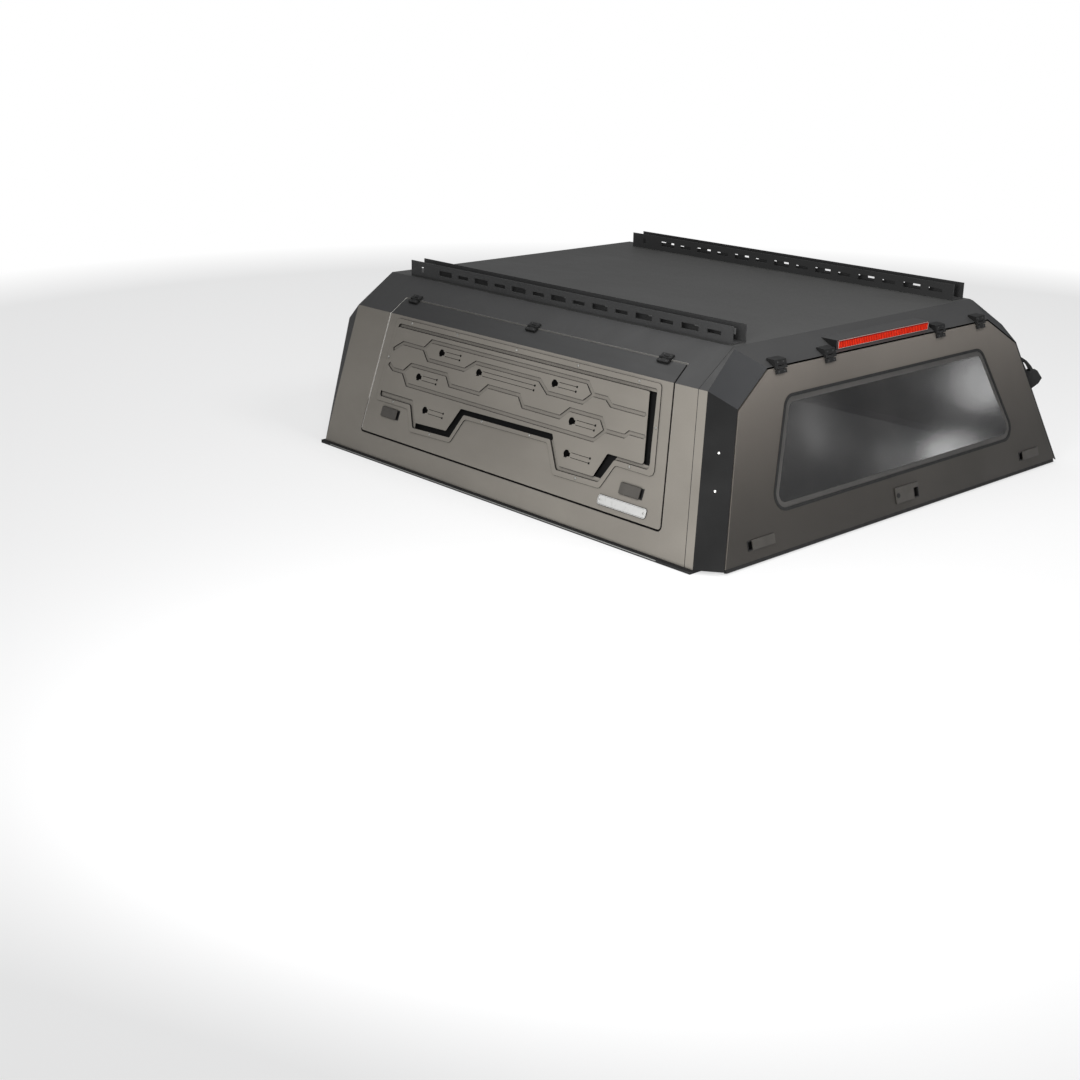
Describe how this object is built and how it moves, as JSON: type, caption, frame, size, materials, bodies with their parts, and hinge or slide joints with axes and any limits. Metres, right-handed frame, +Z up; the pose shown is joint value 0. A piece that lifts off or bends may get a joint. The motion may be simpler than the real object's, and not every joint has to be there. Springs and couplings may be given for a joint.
{
  "type": "pickup truck canopy",
  "caption": "Faceted sheet-steel pickup truck canopy with lift-up side doors, a glazed rear hatch, slotted roof rails and a high brake light.",
  "frame": {"origin": "centre of the bounding box at its base, on the underside of the bed seal", "axes": "+X to the truck's right, +Y forward to the cab, +Z up"},
  "size_m": [1.76, 1.823, 0.583],
  "materials": {
    "side_paint": "satin metallic taupe grey",
    "shoulder_paint": "satin charcoal",
    "dark_paint": "satin dark grey",
    "roof_paint": "matt charcoal",
    "hatch_paint": "satin metallic brown grey",
    "frame_paint": "satin black",
    "black_coat": "black powder coat",
    "pan_plastic": "matt black",
    "latch_plastic": "matt dark grey",
    "red_lens": "red ribbed lens",
    "smoked_glass": "smoked",
    "rubber": "black rubber"
  },
  "bodies": {
    "canopy": {"base_rail": "frame_paint", "bed_seal": "rubber", "brake_light_housing": "black_coat", "brake_light_lens": "red_lens", "cant_rails": "shoulder_paint", "door_hinge_leaves": "black_coat", "door_jambs": "frame_paint", "front_corners": "dark_paint", "front_quarters": "side_paint", "front_shoulder": "shoulder_paint", "front_wall": "dark_paint", "hatch_hinge_leaves": "black_coat", "rear_corners": "shoulder_paint", "rear_hoop": "frame_paint", "rear_quarters": "side_paint", "rear_shoulder": "shoulder_paint", "roof_bows": "frame_paint", "roof_panel": "roof_paint", "roof_rails": "black_coat", "side_sills": "side_paint", "tail_flanges": "side_paint", "tool_clamp": "rubber"},
    "door_left": {"door_skin_left": "side_paint", "tool_panel_left": "side_paint", "door_inner_left": "frame_paint", "door_hinge_arms_left": "black_coat", "latch_pans_left": "pan_plastic"},
    "door_right": {"door_skin_right": "side_paint", "tool_panel_right": "side_paint", "door_inner_right": "frame_paint", "door_hinge_arms_right": "black_coat", "latch_pans_right": "pan_plastic"},
    "hatch": {"hatch_skin": "hatch_paint", "hatch_frame": "frame_paint", "hatch_window_seal": "rubber", "hatch_window": "smoked_glass", "hatch_hinge_straps": "black_coat", "hatch_latch_pans": "pan_plastic", "hatch_bottom_seal": "rubber"},
    "door_latch_front_left": {"door_latch_front_left": "latch_plastic"},
    "door_latch_rear_left": {"door_latch_rear_left": "latch_plastic"},
    "door_latch_front_right": {"door_latch_front_right": "latch_plastic"},
    "door_latch_rear_right": {"door_latch_rear_right": "latch_plastic"},
    "hatch_latch_left": {"hatch_latch_left": "latch_plastic"},
    "hatch_latch_right": {"hatch_latch_right": "latch_plastic"},
    "hatch_handle": {"hatch_handle": "latch_plastic"}
  },
  "joints": [
    {"name": "door_left_hinge", "type": "hinge", "parent": "canopy", "child": "door_left", "pos_m": [-0.64904, 0.03405, 0.48434], "axis": [0, 1, 0], "range_deg": [0, 85]},
    {"name": "door_right_hinge", "type": "hinge", "parent": "canopy", "child": "door_right", "pos_m": [0.64904, 0.03405, 0.48434], "axis": [0, -1, 0], "range_deg": [0, 85]},
    {"name": "hatch_hinge", "type": "hinge", "parent": "canopy", "child": "hatch", "pos_m": [0, -0.78476, 0.4829], "axis": [-1, 0, 0], "range_deg": [0, 80]},
    {"name": "door_latch_front_left_pivot", "type": "hinge", "parent": "door_left", "child": "door_latch_front_left", "pos_m": [-0.81908, 0.54405, 0.14999], "axis": [-0.3506, 0, -0.9365], "range_deg": [0, 35], "stiffness_Nm_per_rad": 0.3, "springref_deg": -14.32},
    {"name": "door_latch_rear_left_pivot", "type": "hinge", "parent": "door_left", "child": "door_latch_rear_left", "pos_m": [-0.81964, -0.52495, 0.14849], "axis": [-0.3506, 0, -0.9365], "range_deg": [0, 35], "stiffness_Nm_per_rad": 0.3, "springref_deg": -14.32},
    {"name": "door_latch_front_right_pivot", "type": "hinge", "parent": "door_right", "child": "door_latch_front_right", "pos_m": [0.81908, 0.54405, 0.14999], "axis": [-0.3506, 0, 0.9365], "range_deg": [0, 35], "stiffness_Nm_per_rad": 0.3, "springref_deg": -14.32},
    {"name": "door_latch_rear_right_pivot", "type": "hinge", "parent": "door_right", "child": "door_latch_rear_right", "pos_m": [0.81964, -0.52495, 0.14849], "axis": [-0.3506, 0, 0.9365], "range_deg": [0, 35], "stiffness_Nm_per_rad": 0.3, "springref_deg": -14.32},
    {"name": "hatch_latch_left_pivot", "type": "hinge", "parent": "hatch", "child": "hatch_latch_left", "pos_m": [-0.6085, -0.89985, 0.05537], "axis": [0, 0.2667, 0.9638], "range_deg": [0, 35], "stiffness_Nm_per_rad": 0.3, "springref_deg": -14.32},
    {"name": "hatch_latch_right_pivot", "type": "hinge", "parent": "hatch", "child": "hatch_latch_right", "pos_m": [0.7175, -0.89985, 0.05537], "axis": [0, 0.2667, 0.9638], "range_deg": [0, 35], "stiffness_Nm_per_rad": 0.3, "springref_deg": -14.32},
    {"name": "hatch_handle_pivot", "type": "hinge", "parent": "hatch", "child": "hatch_handle", "pos_m": [-0.058, -0.89874, 0.05937], "axis": [0, -0.2667, -0.9638], "range_deg": [0, 35], "stiffness_Nm_per_rad": 0.3, "springref_deg": -14.32}
  ]
}
